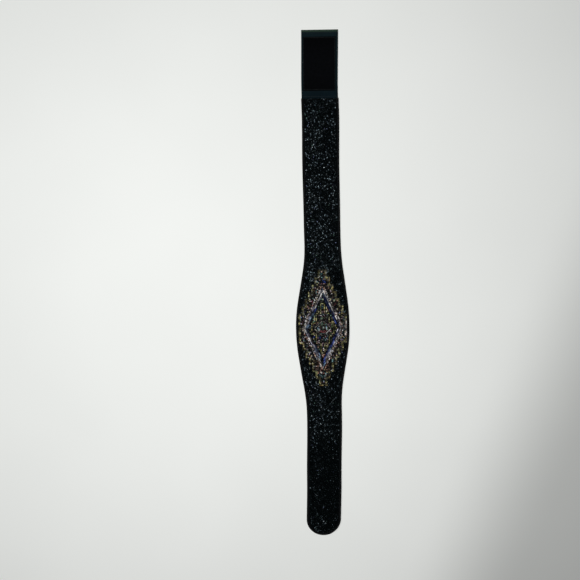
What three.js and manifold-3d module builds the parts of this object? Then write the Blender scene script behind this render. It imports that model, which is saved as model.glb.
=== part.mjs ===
// Beaded belt, lying flat with its face up.
// Millimetres. X runs across the belt, +Y towards the tab end and +Z up from the surface it lies on.
// Places along the belt are given as a distance from the tab end, and motif places from the motif's middle.

import * as THREE from 'three';
import { mergeVertices } from 'three/addons/utils/BufferGeometryUtils.js';
import Module from 'manifold-3d';

const wasm = await Module();
wasm.setup();

// Driving dimensions
const CLEARANCE = 0.3;

const belt = {
  length: 848,
  width: 60,
  sway: 1.5,
  stationStep: 18,
  roundSteps: 9,
};

const flare = {
  centre: 477.5,
  width: 90,
  reach: 144,
  crownShare: 0.34,
  filletShare: 0.34,
};

const fabric = {
  thickness: 1.6,
  tabInset: 0.9,
  tabLength: 103.5,
  tabStep: 0.5,
  foldLength: 3,
  foldRise: 0.4,
};

const binding = {
  width: 3.4,
  edgeWall: 0.9,
  lip: 0.5,
  bevel: 0.8,
};

const closure = {
  length: 82,
  loopFromEnd: 10.6,
  leftMargin: 3.4,
  rightMargin: 5.1,
  loopThickness: 1.6,
  hookThickness: 1.3,
  liftLength: 46,
};

const field = {
  height: 1.8,
  inset: 4.2,
  edgeBevel: 0.7,
};

const goldSteps = {
  count: 7,
  lineWidth: 3.4,
  firstRun: 24.4,
  halfLength: 97.6,
};

const irisBand = {
  sideWidth: 1.1,
};

const bugleRows = {
  lengthToWidth: 2.175,
  rows: 3,
  beadRadius: 0.9,
  beadLength: 7.6,
  groove: 0.3,
};

const pearls = {
  width: 3.3,
  apexThickness: 3,
};

const innerSteps = {
  lineWidth: 2,
  runShares: [0.17, 0.47, 0.78],
  neck: 0.4,
};

const silverRows = {
  sideRoom: 2.85,
  lengthToWidth: 0.93,
  beadRadius: 0.75,
  beadLength: 6.4,
  groove: 0.25,
};

const BEAD_SIDES = 10;

// How the centre line wanders as the belt lies, as shares of the belt's length and of its sway
const swayTable = [
  { along: 0, across: 0 },
  { along: 0.1, across: -0.67 },
  { along: 0.165, across: 0 },
  { along: 0.24, across: -0.27 },
  { along: 0.354, across: 0.4 },
  { along: 0.43, across: 1 },
  { along: flare.centre / belt.length, across: 0 },
  { along: 0.66, across: -0.27 },
  { along: 0.755, across: 1 },
  { along: 0.88, across: -0.13 },
  { along: 1, across: -1.4 },
];

// Heights that follow from the layers
const fabricBottom = binding.lip + CLEARANCE;
const fabricTop = fabricBottom + fabric.thickness;
const bindingHeight = fabricTop + CLEARANCE + binding.lip;
const bedHeight = fabricTop + CLEARANCE;
const endLift = Math.max(0, closure.hookThickness + CLEARANCE - fabricBottom);

// Places along the belt that follow from the sizes
const roundRadius = belt.width / 2;
const roundCentre = belt.length - roundRadius;
const patchHalfWidth = roundRadius - fabric.tabInset - (closure.leftMargin + closure.rightMargin) / 2;
const patchOffset = (closure.leftMargin - closure.rightMargin) / 2;
const roundRoom = roundRadius - binding.width - CLEARANCE;
const hookEnd = roundCentre + Math.sqrt(Math.max(0, roundRoom ** 2 - patchHalfWidth ** 2));
const hookStart = hookEnd - closure.length;

const materials = {
  fabric: { color: 0x0e191a, roughness: 0.85, metalness: 0 },
  binding: { color: 0x0a0b0d, roughness: 0.8, metalness: 0 },
  loopPile: { color: 0x050608, roughness: 0.95, metalness: 0 },
  hookTape: { color: 0x08090b, roughness: 0.7, metalness: 0 },
  blackBeads: { color: 0x0f1416, roughness: 0.2, metalness: 0 },
  goldBeads: { color: 0x7d6a2c, roughness: 0.3, metalness: 0.6 },
  irisBeads: { color: 0x2a2230, roughness: 0.2, metalness: 0.3 },
  pearlBeads: { color: 0xb9a6ad, roughness: 0.25, metalness: 0 },
  cobaltBugles: { color: 0x27307f, roughness: 0.15, metalness: 0 },
  lavenderBugles: { color: 0x9095c8, roughness: 0.15, metalness: 0 },
  oliveBeads: { color: 0x24301f, roughness: 0.25, metalness: 0.2 },
  plumBeads: { color: 0x2b1f26, roughness: 0.2, metalness: 0.3 },
  silverBugles: { color: 0x9a9aa4, roughness: 0.2, metalness: 0.7 },
  coreBeads: { color: 0x2f4a4c, roughness: 0.25, metalness: 0.2 },
};

for (const [name, finish] of Object.entries(materials)) {
  materials[name] = new THREE.MeshStandardMaterial({ name, ...finish });
}

// Plan of the belt

function yAt(along) {
  return belt.length / 2 - along;
}

function centreAt(along) {
  const share = along / belt.length;
  const next = swayTable.findIndex((row) => row.along >= share);
  if (next <= 0) {
    return belt.sway * swayTable[0].across;
  }
  const before = swayTable[next - 1];
  const after = swayTable[next];
  const ease = THREE.MathUtils.smoothstep(share, before.along, after.along);
  return belt.sway * THREE.MathUtils.lerp(before.across, after.across, ease);
}

// Share of the flare's rise at a distance from its widest place: crown arc, straight flank, fillet arc
function flareShareAt(distance) {
  const { crownShare, filletShare, reach } = flare;
  const run = Math.abs(distance) / reach;
  const steepest = 1 / (1 - (crownShare + filletShare) / 2);
  if (run >= 1) {
    return 0;
  }
  if (run < crownShare) {
    return 1 - (steepest * run * run) / (2 * crownShare);
  }
  if (run < 1 - filletShare) {
    return 1 - steepest * (run - crownShare / 2);
  }
  return (steepest * (1 - run) ** 2) / (2 * filletShare);
}

function halfWidthAt(along, inset) {
  if (along > roundCentre) {
    const radius = roundRadius - inset;
    return Math.sqrt(Math.max(0, radius ** 2 - (along - roundCentre) ** 2));
  }
  const rise = (flare.width - belt.width) / 2;
  return roundRadius + rise * flareShareAt(along - flare.centre) - inset;
}

// The round end stands on the hook patch under it, and the belt comes down from it in a gentle slope
function liftAt(along) {
  return endLift * THREE.MathUtils.smoothstep(along, hookStart - closure.liftLength, hookStart);
}

function stationsBetween(from, to) {
  const steps = Math.max(1, Math.ceil((to - from) / belt.stationStep));
  return Array.from({ length: steps + 1 }, (_, i) => THREE.MathUtils.lerp(from, to, i / steps));
}

// Stations round the end of an outline that is set in from the belt's own, stopping short of its point
function roundStations(inset) {
  const radius = roundRadius - inset;
  const lastAngle = THREE.MathUtils.degToRad(86);
  return Array.from({ length: belt.roundSteps }, (_, i) => {
    const angle = (lastAngle * (i + 1)) / belt.roundSteps;
    return roundCentre + radius * Math.sin(angle);
  });
}

// Solids

// Closed solid through rings of points, each ring with as many points as the next
function loft(rings) {
  const count = rings[0].length;
  const positions = rings.flat().flatMap((point) => [point.x, point.y, point.z]);
  const indices = [];
  for (let ring = 0; ring + 1 < rings.length; ring += 1) {
    for (let i = 0; i < count; i += 1) {
      const a = ring * count + i;
      const b = ring * count + ((i + 1) % count);
      indices.push(a, b, b + count, a, b + count, a + count);
    }
  }
  const outline = ringOutline(rings[0]);
  const lastRing = (rings.length - 1) * count;
  const clockwise = THREE.ShapeUtils.isClockWise(outline);
  for (const face of THREE.ShapeUtils.triangulateShape(outline, [])) {
    const [a, b, c] = clockwise ? face.reverse() : face;
    indices.push(a, c, b);
    indices.push(lastRing + a, lastRing + b, lastRing + c);
  }
  const geometry = new THREE.BufferGeometry();
  geometry.setAttribute('position', new THREE.Float32BufferAttribute(positions, 3));
  geometry.setIndex(indices);
  geometry.computeVertexNormals();
  return geometry;
}

// A ring laid out flat: distance from the ring's first point in plan, and height
function ringOutline(ring) {
  const direction = new THREE.Vector3();
  for (const point of ring) {
    const offset = point.clone().sub(ring[0]).setZ(0);
    if (offset.length() > direction.length()) {
      direction.copy(offset);
    }
  }
  direction.normalize();
  return ring.map((point) => new THREE.Vector2(point.clone().sub(ring[0]).dot(direction), point.z));
}

// Cross-section of a strip: a box, with its two upper edges bevelled where bevel is over 0
function stripRing(along, left, right, bottom, top, bevel) {
  const y = yAt(along);
  const corners = [
    [left, bottom],
    [right, bottom],
    [right, top - bevel],
    [right - bevel, top],
    [left + bevel, top],
    [left, top - bevel],
  ];
  const used = bevel > 0 ? corners : [corners[0], corners[1], [right, top], [left, top]];
  return used.map(([x, z]) => new THREE.Vector3(x, y, z));
}

function boxStrip(stations, halfWidth, offset, bottom, top) {
  return loft(stations.map((along) => {
    const middle = centreAt(along) + offset;
    return stripRing(along, middle - halfWidth, middle + halfWidth, bottom, top, 0);
  }));
}

function fabricBase() {
  const { tabLength, tabStep, foldLength, foldRise, tabInset } = fabric;
  const rings = [];
  const addTab = (along, top) => {
    const half = roundRadius - tabInset;
    const middle = centreAt(along);
    rings.push(stripRing(along, middle - half, middle + half, 0, top, 0));
  };
  addTab(0, fabricTop + foldRise);
  addTab(foldLength, fabricTop + foldRise);
  stationsBetween(foldLength + tabStep, tabLength).forEach((along) => addTab(along, fabricTop));

  const inset = binding.edgeWall + CLEARANCE;
  const body = [...stationsBetween(tabLength + tabStep, roundCentre), ...roundStations(inset)];
  for (const along of body) {
    const half = halfWidthAt(along, inset);
    const middle = centreAt(along);
    const lift = liftAt(along);
    rings.push(stripRing(along, middle - half, middle + half, fabricBottom + lift, fabricTop + lift, 0));
  }
  return loft(rings);
}

// The outer edge of the beaded part, from the tab down one side, round the end and up the other
function edgeRoute() {
  const start = fabric.tabLength + fabric.tabStep;
  const side = stationsBetween(start, roundCentre).map((along) => {
    const slope = (halfWidthAt(along + 1, 0) - halfWidthAt(along - 1, 0)) / 2;
    const outward = along < roundCentre ? new THREE.Vector2(1, slope).normalize() : new THREE.Vector2(1, 0);
    return { along, half: halfWidthAt(along, 0), outward };
  });
  const turn = [];
  const turnSteps = belt.roundSteps * 2;
  for (let i = 1; i < turnSteps; i += 1) {
    const angle = (Math.PI * i) / turnSteps;
    const outward = new THREE.Vector2(Math.cos(angle), -Math.sin(angle));
    const along = roundCentre + roundRadius * Math.sin(angle);
    turn.push({ along, half: roundRadius * Math.cos(angle), outward });
  }
  const otherSide = side.map(({ along, half, outward }) => {
    return { along, half: -half, outward: new THREE.Vector2(-outward.x, outward.y) };
  });
  return [...side, ...turn, ...otherSide.reverse()];
}

// Fabric strip folded over the edge of the base, as a channel whose two lips hold the base between them
function edgeBinding() {
  const { width, edgeWall, bevel, lip } = binding;
  const section = [
    { inward: width, height: 0 },
    { inward: bevel, height: 0 },
    { inward: 0, height: bevel },
    { inward: 0, height: bindingHeight - bevel },
    { inward: bevel, height: bindingHeight },
    { inward: width, height: bindingHeight },
    { inward: width, height: bindingHeight - lip },
    { inward: edgeWall, height: bindingHeight - lip },
    { inward: edgeWall, height: lip },
    { inward: width, height: lip },
  ];
  const rings = edgeRoute().map(({ along, half, outward }) => {
    const x = centreAt(along) + half;
    const y = yAt(along);
    const lift = liftAt(along);
    return section.map(({ inward, height }) => {
      return new THREE.Vector3(x - outward.x * inward, y - outward.y * inward, height + lift);
    });
  });
  return loft(rings);
}

function slab(shape, height) {
  return new THREE.ExtrudeGeometry(shape, { depth: height, bevelEnabled: false });
}

function toManifold(geometry) {
  const bare = geometry.clone();
  bare.deleteAttribute('normal');
  bare.deleteAttribute('uv');
  const merged = mergeVertices(bare);
  return new wasm.Manifold(new wasm.Mesh({
    numProp: 3,
    vertProperties: new Float32Array(merged.attributes.position.array),
    triVerts: new Uint32Array(merged.index.array),
  }));
}

function fromManifold(solid) {
  const mesh = solid.getMesh();
  const geometry = new THREE.BufferGeometry();
  geometry.setAttribute('position', new THREE.BufferAttribute(mesh.vertProperties, 3));
  geometry.setIndex(new THREE.BufferAttribute(mesh.triVerts, 1));
  geometry.computeVertexNormals();
  return geometry;
}

// Bed of black beads between two places along the belt, cut back round the motif
function blackField(stations) {
  const bed = loft(stations.map((along) => {
    const half = halfWidthAt(along, field.inset);
    const middle = centreAt(along);
    const bottom = bedHeight + liftAt(along);
    return stripRing(along, middle - half, middle + half, bottom, bottom + field.height, field.edgeBevel);
  }));
  const cutter = slab(steppedOutline(goldColumns, goldSteps.lineWidth / 2 + CLEARANCE), field.height * 3);
  cutter.translate(0, motifY, bedHeight - field.height);
  return fromManifold(toManifold(bed).subtract(toManifold(cutter)));
}

// Motif outlines

// Closed outline through the corners of its first quarter, mirrored into the other three
function mirroredOutline(quarter, OutlineClass) {
  const mirror = (sx, sy) => quarter.map(([x, y]) => new THREE.Vector2(x * sx, y * sy));
  const points = [
    ...mirror(1, 1),
    ...mirror(-1, 1).reverse(),
    ...mirror(-1, -1),
    ...mirror(1, -1).reverse(),
  ];
  const distinct = points.filter((point, i) => point.distanceTo(points.at(i - 1)) > 0.001);
  return new OutlineClass(distinct);
}

// Stepped diamond whose edge lies a distance outside the columns' middles
function steppedOutline(columns, outside, OutlineClass = THREE.Shape) {
  const quarter = [];
  columns.forEach(({ x, run }, i) => {
    if (i > 0) {
      quarter.push([x + outside, columns[i - 1].run + outside]);
    }
    quarter.push([x + outside, run + outside]);
  });
  return mirroredOutline(quarter, OutlineClass);
}

function steppedRing(columns, lineWidth) {
  const ring = steppedOutline(columns, lineWidth / 2);
  ring.holes.push(steppedOutline(columns, -lineWidth / 2, THREE.Path));
  return ring;
}

// A diamond's side moved outwards: its half width and half length, and the direction it moved in
function offsetDiamond({ halfWidth, halfLength }, outside) {
  const outward = new THREE.Vector2(halfLength, halfWidth).normalize();
  return {
    halfWidth: halfWidth + outside / outward.x,
    halfLength: halfLength + outside / outward.y,
    outward,
  };
}

function diamondOutline(diamond, OutlineClass = THREE.Shape, apex = diamond.halfLength) {
  const cut = Math.min(apex, diamond.halfLength);
  const apexHalfWidth = diamond.halfWidth * (1 - cut / diamond.halfLength);
  return mirroredOutline([[diamond.halfWidth, 0], [apexHalfWidth, cut]], OutlineClass);
}

const motifY = yAt(flare.centre);
const goldColumns = goldColumnTable();

// The pearl beads' widest place leaves the iris band's side width inside the gold steps
const bugleRowPitch = 2 * bugleRows.beadRadius + CLEARANCE;
const bugleBandHalf = ((bugleRows.rows - 1) * bugleRowPitch) / 2 + bugleRows.beadRadius;
const bugleOutward = new THREE.Vector2(bugleRows.lengthToWidth, 1).normalize();
const pearlHalfWidth = goldColumns[0].x - goldSteps.lineWidth / 2 - irisBand.sideWidth;
const bugleHalfWidth = pearlHalfWidth - (bugleBandHalf + CLEARANCE + pearls.width) / bugleOutward.x;
const bugleHalfLength = bugleHalfWidth * bugleRows.lengthToWidth;
const bugleDiamond = { ...bugleRows, halfWidth: bugleHalfWidth, halfLength: bugleHalfLength };
const bugleBandOuter = offsetDiamond(bugleDiamond, bugleBandHalf + CLEARANCE);
const bugleBandInner = offsetDiamond(bugleDiamond, -bugleBandHalf - CLEARANCE);
const pearlOuter = offsetDiamond(bugleDiamond, bugleBandHalf + CLEARANCE + pearls.width);
const pearlApex = bugleBandOuter.halfLength + pearls.apexThickness;

// The silver diamond leaves its side room inside the inner steps
const innerColumns = innerColumnTable();
const silverHalfWidth = innerColumns[0].x - innerSteps.lineWidth / 2 - silverRows.sideRoom;
const silverHalfLength = silverHalfWidth * silverRows.lengthToWidth;
const silverDiamond = { ...silverRows, halfWidth: silverHalfWidth, halfLength: silverHalfLength };
const silverOuter = offsetDiamond(silverDiamond, silverDiamond.beadRadius + CLEARANCE);
const silverInner = offsetDiamond(silverDiamond, -silverDiamond.beadRadius - CLEARANCE);

// The widest gold column lies against the binding, and the others step in evenly towards the middle line
function goldColumnTable() {
  const { count, lineWidth, firstRun, halfLength } = goldSteps;
  const reach = firstRun + lineWidth / 2;
  const beltRoom = halfWidthAt(flare.centre + reach, binding.width + CLEARANCE);
  const widest = beltRoom - lineWidth / 2;
  return Array.from({ length: count }, (_, i) => {
    return {
      x: (widest * (count - i)) / count,
      run: THREE.MathUtils.lerp(firstRun, halfLength, i / (count - 1)),
    };
  });
}

// Each inner column's outer corner leaves a neck of beads between it and the bugle diamond
function innerColumnTable() {
  const { lineWidth, runShares, neck } = innerSteps;
  const { halfWidth, halfLength } = bugleBandInner;
  const outside = lineWidth / 2 + CLEARANCE;
  return runShares.map((share) => {
    const run = share * halfLength;
    const room = halfWidth * (1 - (run + outside) / halfLength);
    return { x: room - outside - neck, run };
  });
}

function withHole(shape, hole) {
  shape.holes.push(hole);
  return shape;
}

function irisField() {
  const outer = steppedOutline(goldColumns, -goldSteps.lineWidth / 2 - CLEARANCE);
  const roomForPearls = offsetDiamond(pearlOuter, CLEARANCE);
  return withHole(outer, diamondOutline(roomForPearls, THREE.Path, pearlApex + CLEARANCE));
}

function pearlRing() {
  return withHole(diamondOutline(pearlOuter, THREE.Shape, pearlApex), diamondOutline(bugleBandOuter, THREE.Path));
}

function oliveField() {
  const hole = steppedOutline(innerColumns, innerSteps.lineWidth / 2 + CLEARANCE, THREE.Path);
  return withHole(diamondOutline(bugleBandInner), hole);
}

function plumField() {
  const outer = steppedOutline(innerColumns, -innerSteps.lineWidth / 2 - CLEARANCE);
  return withHole(outer, diamondOutline(silverOuter, THREE.Path));
}

// Bugle rows

// A row of tube beads end to end, turned about Y, with a groove where two beads meet
function bugleRow(length, { beadRadius, beadLength, groove }) {
  const count = Math.max(1, Math.round(length / beadLength));
  const pitch = length / count;
  const profile = [new THREE.Vector2(0, 0), new THREE.Vector2(beadRadius, 0)];
  for (let i = 1; i < count; i += 1) {
    profile.push(new THREE.Vector2(beadRadius, i * pitch - groove));
    profile.push(new THREE.Vector2(beadRadius - groove, i * pitch));
    profile.push(new THREE.Vector2(beadRadius, i * pitch + groove));
  }
  profile.push(new THREE.Vector2(beadRadius, length), new THREE.Vector2(0, length));
  return new THREE.LatheGeometry(profile, BEAD_SIDES);
}

// One row along one side of a diamond, stopping short of the rows on the two sides that it meets
function addBugleRow(group, name, diamond, outside, quarter, material) {
  const { halfWidth, halfLength, outward } = offsetDiamond(diamond, outside);
  const radius = diamond.beadRadius;
  const startY = CLEARANCE / 2 + outward.y * radius;
  const endX = CLEARANCE / 2 + outward.x * radius;
  const start = new THREE.Vector2(halfWidth * (1 - startY / halfLength), startY).multiply(quarter);
  const end = new THREE.Vector2(endX, halfLength * (1 - endX / halfWidth)).multiply(quarter);
  const run = end.clone().sub(start);
  const mesh = addPiece(group, name, bugleRow(run.length(), diamond), material);
  mesh.position.set(start.x, start.y, radius);
  mesh.rotation.z = run.angle() - Math.PI / 2;
}

const quarters = {
  upper_right: new THREE.Vector2(1, 1),
  upper_left: new THREE.Vector2(-1, 1),
  lower_left: new THREE.Vector2(-1, -1),
  lower_right: new THREE.Vector2(1, -1),
};

function addPiece(group, name, geometry, material) {
  const mesh = new THREE.Mesh(geometry, material);
  mesh.name = name;
  group.add(mesh);
  return mesh;
}

// The belt's strip: fabric, binding and the two halves of the closure

function buildStrip() {
  const group = new THREE.Group();
  addPiece(group, 'fabric_base', fabricBase(), materials.fabric);
  addPiece(group, 'edge_binding', edgeBinding(), materials.binding);

  const loopStations = stationsBetween(closure.loopFromEnd, closure.loopFromEnd + closure.length);
  const loopTop = bedHeight + closure.loopThickness;
  const loopPatch = boxStrip(loopStations, patchHalfWidth, patchOffset, bedHeight, loopTop);
  addPiece(group, 'loop_patch', loopPatch, materials.loopPile);

  const hookPatch = boxStrip(stationsBetween(hookStart, hookEnd), patchHalfWidth, 0, 0, closure.hookThickness);
  addPiece(group, 'hook_patch', hookPatch, materials.hookTape);
  return group;
}

// The black beads on either side of the motif

function buildBlackFields() {
  const group = new THREE.Group();
  const motifSide = goldSteps.firstRun + goldSteps.lineWidth / 2 + CLEARANCE;
  const tabSide = stationsBetween(fabric.tabLength + fabric.tabStep, flare.centre - motifSide);
  addPiece(group, 'black_beads_tab_side', blackField(tabSide), materials.blackBeads);

  const roundSide = [
    ...stationsBetween(flare.centre + motifSide, roundCentre),
    ...roundStations(field.inset),
  ];
  addPiece(group, 'black_beads_round_end', blackField(roundSide), materials.blackBeads);
  return group;
}

// The diamond motif, in its own frame about its middle, standing on the fabric

function buildMotif() {
  const group = new THREE.Group();
  group.position.set(0, motifY, bedHeight);
  const beds = [
    ['gold_steps_outer', steppedRing(goldColumns, goldSteps.lineWidth), materials.goldBeads],
    ['iris_bead_field', irisField(), materials.irisBeads],
    ['pearl_bead_ring', pearlRing(), materials.pearlBeads],
    ['olive_bead_field', oliveField(), materials.oliveBeads],
    ['gold_steps_inner', steppedRing(innerColumns, innerSteps.lineWidth), materials.goldBeads],
    ['plum_bead_field', plumField(), materials.plumBeads],
    ['core_bead_field', diamondOutline(silverInner), materials.coreBeads],
  ];
  for (const [name, shape, material] of beds) {
    addPiece(group, name, slab(shape, field.height), material);
  }

  for (const [quarterName, quarter] of Object.entries(quarters)) {
    for (let row = 0; row < bugleRows.rows; row += 1) {
      const outside = (row - (bugleRows.rows - 1) / 2) * bugleRowPitch;
      const material = row % 2 === 0 ? materials.cobaltBugles : materials.lavenderBugles;
      addBugleRow(group, `bugle_row_${quarterName}_${row + 1}`, bugleDiamond, outside, quarter, material);
    }
    addBugleRow(group, `silver_row_${quarterName}`, silverDiamond, 0, quarter, materials.silverBugles);
  }
  return group;
}

const beadedBelt = new THREE.Group();
beadedBelt.name = 'beaded_belt';
beadedBelt.add(buildStrip(), buildBlackFields(), buildMotif());

export default beadedBelt;
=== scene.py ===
import math
import random

import bpy
import numpy as np
from mathutils import Matrix, Vector, noise


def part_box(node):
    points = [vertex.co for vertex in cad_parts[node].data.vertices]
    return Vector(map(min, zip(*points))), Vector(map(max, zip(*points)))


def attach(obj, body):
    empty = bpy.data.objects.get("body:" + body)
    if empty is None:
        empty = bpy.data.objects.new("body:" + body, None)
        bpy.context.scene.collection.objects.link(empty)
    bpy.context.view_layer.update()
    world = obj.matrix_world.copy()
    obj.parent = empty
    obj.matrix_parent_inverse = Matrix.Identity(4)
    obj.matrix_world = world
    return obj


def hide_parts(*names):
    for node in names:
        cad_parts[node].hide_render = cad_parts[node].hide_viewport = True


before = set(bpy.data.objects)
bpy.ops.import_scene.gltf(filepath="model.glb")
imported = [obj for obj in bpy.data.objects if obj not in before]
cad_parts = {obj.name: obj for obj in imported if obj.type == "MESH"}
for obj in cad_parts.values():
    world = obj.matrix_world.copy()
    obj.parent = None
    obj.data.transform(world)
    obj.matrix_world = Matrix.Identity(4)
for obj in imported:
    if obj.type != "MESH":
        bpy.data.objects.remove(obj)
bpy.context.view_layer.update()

MM = 0.001
SEED = 20


def node_box(node):
    """A CAD node's lowest and highest corners, in millimetres."""
    low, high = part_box(node)
    return Vector(low) / MM, Vector(high) / MM


# The belt's plan, in millimetres; places along it are distances from the tab end
LENGTH = 848.0
WIDTH = 60.0
SWAY = 1.5
FLARE_CENTRE = 477.5
FLARE_WIDTH = 90.0
FLARE_REACH = 144.0
CROWN_SHARE = 0.34
FILLET_SHARE = 0.34
TAB_LENGTH = 103.5
TAB_INSET = 0.9
BINDING_WIDTH = 3.4
BINDING_WALL = 0.9
FIELD_INSET = 4.2
CLEARANCE = 0.3
ROUND_RADIUS = WIDTH / 2
ROUND_CENTRE = LENGTH - ROUND_RADIUS
TAB_HALF = ROUND_RADIUS - TAB_INSET
LIFT_LENGTH = 46.0
CLOTH_THICKNESS = 1.6
FOLD_LENGTH = 3.0
FOLD_RISE = 0.4

# How the centre line wanders: share of the length, and share of the sway
SWAY_TABLE = (
    (0.0, 0.0), (0.1, -0.67), (0.165, 0.0), (0.24, -0.27), (0.354, 0.4), (0.43, 1.0),
    (FLARE_CENTRE / LENGTH, 0.0), (0.66, -0.27), (0.755, 1.0), (0.88, -0.13), (1.0, -1.4),
)

# Heights of the layers, read from the frame
BED = node_box("black_beads_tab_side")[0].z
BED_HEIGHT = node_box("black_beads_tab_side")[1].z - BED
FABRIC_TOP = BED - CLEARANCE
FABRIC_BOTTOM = FABRIC_TOP - CLOTH_THICKNESS
BINDING_HEIGHT = FABRIC_TOP + FABRIC_BOTTOM
END_LIFT = node_box("black_beads_round_end")[1].z - BED - BED_HEIGHT
HOOK_LOW, HOOK_HIGH = node_box("hook_patch")
LOOP_LOW, LOOP_HIGH = node_box("loop_patch")
HOOK_START = LENGTH / 2 - HOOK_HIGH.y

# Stitches
STITCH_LENGTH = 1.9
STITCH_PITCH = 2.6

# The closure's patches: the loop patch spreads a little past its solid
PATCH_MARGIN = 4.25
PATCH_HALF = TAB_HALF - PATCH_MARGIN
PILE_SPREAD = 1.0
PILE_HEIGHT = 0.35

# The motif's chart, about its own middle
MOTIF_Y = LENGTH / 2 - FLARE_CENTRE
STEP_COUNT = 7
GOLD_HALF_LINE = 1.7
STEP_ACROSS = (node_box("gold_steps_outer")[1].x - GOLD_HALF_LINE) / STEP_COUNT
FIRST_RUN = 24.4
STEP_ALONG = 12.2
CELLS_ACROSS_STEP = 3
CELLS_ALONG_STEP = 8
CELL_X = STEP_ACROSS / CELLS_ACROSS_STEP
CELL_Y = STEP_ALONG / CELLS_ALONG_STEP
CELLS_TO_TIP = 66

# Seed beads: the black ones and the motif's differ a little in size
SEED_LENGTH = 1.42
BLACK_RADIUS = 0.92
MOTIF_RADIUS = 0.9


def smoothstep(x, low, high):
    t = min(1.0, max(0.0, (x - low) / (high - low)))
    return t * t * (3 - 2 * t)


def rough(x, y, layer):
    return noise.noise(Vector((x, y, layer)))


def y_at(along):
    return LENGTH / 2 - along


def along_at(y):
    return LENGTH / 2 - y


def centre_at(along):
    """The centre line's x."""
    share = min(1.0, max(0.0, along / LENGTH))
    for (start, low), (end, high) in zip(SWAY_TABLE, SWAY_TABLE[1:]):
        if share <= end:
            return SWAY * (low + (high - low) * smoothstep(share, start, end))
    return SWAY * SWAY_TABLE[-1][1]


def flare_share(distance):
    """The flare's share of its full width: a crown, a straight side and a fillet."""
    run = abs(distance) / FLARE_REACH
    steepest = 1 / (1 - (CROWN_SHARE + FILLET_SHARE) / 2)
    if run >= 1:
        return 0.0
    if run < CROWN_SHARE:
        return 1 - steepest * run * run / (2 * CROWN_SHARE)
    if run < 1 - FILLET_SHARE:
        return 1 - steepest * (run - CROWN_SHARE / 2)
    return steepest * (1 - run) ** 2 / (2 * FILLET_SHARE)


def half_width_at(along, inset):
    """Half the beaded part's width, less an inset."""
    if along > ROUND_CENTRE:
        radius = ROUND_RADIUS - inset
        return math.sqrt(max(0.0, radius**2 - (along - ROUND_CENTRE) ** 2))
    return ROUND_RADIUS + (FLARE_WIDTH - WIDTH) / 2 * flare_share(along - FLARE_CENTRE) - inset


def lift_at(along):
    """How far the round end is raised by the hook patch under it."""
    return END_LIFT * smoothstep(along, HOOK_START - LIFT_LENGTH, HOOK_START)


# The camera, from the fit to the tape: its focal length is the sensor's width
CAMERA_TILT = math.radians(7.49)
CAMERA_ROLL = math.radians(1.0288)
CAMERA_DISTANCE = 967.4
CAMERA_TARGET = Vector((-53.8, 12.0, 0.0))
CAMERA_SENSOR = 36.0


def add_object(name, data):
    made = bpy.data.objects.new(name, data)
    bpy.context.scene.collection.objects.link(made)
    return made


def make_camera():
    turn = Matrix.Rotation(-CAMERA_TILT, 4, "X") @ Matrix.Rotation(-CAMERA_ROLL, 4, "Z")
    place = (CAMERA_TARGET + turn.col[2].xyz * CAMERA_DISTANCE) * MM
    data = bpy.data.cameras.new("camera")
    data.sensor_width = CAMERA_SENSOR
    data.lens = CAMERA_SENSOR
    camera = add_object("camera", data)
    camera.matrix_world = Matrix.Translation(place) @ turn
    bpy.context.scene.camera = camera


# Meshes


def new_object(name, vertices, face_groups, material, smooth=True):
    """A mesh object from vertices in millimetres and arrays of faces.

    The faces of one array all have the same number of corners.
    """
    groups = [np.asarray(group, dtype=np.int32) for group in face_groups]
    corners = np.concatenate([group.ravel() for group in groups])
    totals = np.concatenate([np.full(len(group), group.shape[1]) for group in groups])
    totals = totals.astype(np.int32)
    starts = np.concatenate(([0], np.cumsum(totals)[:-1])).astype(np.int32)
    mesh = bpy.data.meshes.new(name)
    mesh.vertices.add(len(vertices))
    mesh.vertices.foreach_set("co", (np.asarray(vertices) * MM).astype(np.float32).ravel())
    mesh.loops.add(len(corners))
    mesh.loops.foreach_set("vertex_index", corners)
    mesh.polygons.add(len(totals))
    mesh.polygons.foreach_set("loop_start", starts)
    mesh.polygons.foreach_set("loop_total", totals)
    mesh.polygons.foreach_set("use_smooth", np.full(len(totals), smooth))
    mesh.update(calc_edges=True)
    mesh.materials.append(material)
    return add_object(name, mesh)


def keep_values(piece, key, numbers):
    """A mesh attribute with one number per vertex."""
    attribute = piece.data.attributes.new(key, "FLOAT", "POINT")
    attribute.data.foreach_set("value", np.asarray(numbers, dtype=np.float32))


def finish_piece(piece, slot, *nodes):
    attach(piece, "root")
    if nodes:
        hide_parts(*nodes)


def ring_faces(count, size):
    """Quads between rings of points, and a cap at each end."""
    first = np.arange(count - 1)[:, None] * size
    beyond = first + size
    here = np.arange(size)
    ahead = (here + 1) % size
    quads = np.stack([first + here, first + ahead, beyond + ahead, beyond + here], axis=-1)
    return quads.reshape(-1, 4), np.stack([here[::-1], (count - 1) * size + here])


def lofted(name, rings, material):
    """A closed body through rings of points."""
    rings = np.asarray(rings, dtype=float)
    return new_object(name, rings.reshape(-1, 3), ring_faces(*rings.shape[:2]), material)


def turned(profile, sides, radius, length=1.0):
    """A body turned about X from rows of x and radius: its vertices, side quads and end caps."""
    angles = np.arange(sides) * math.tau / sides
    circle = np.stack([np.cos(angles), np.sin(angles)], axis=-1)
    rows = [(x * length, share * radius) for x, share in profile]
    rings = [np.column_stack([np.full(sides, x), wide * circle]) for x, wide in rows]
    quads, caps = ring_faces(len(profile), sides)
    return np.concatenate(rings), np.roll(quads[:, ::-1], 1, axis=1), caps[:, ::-1]


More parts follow.
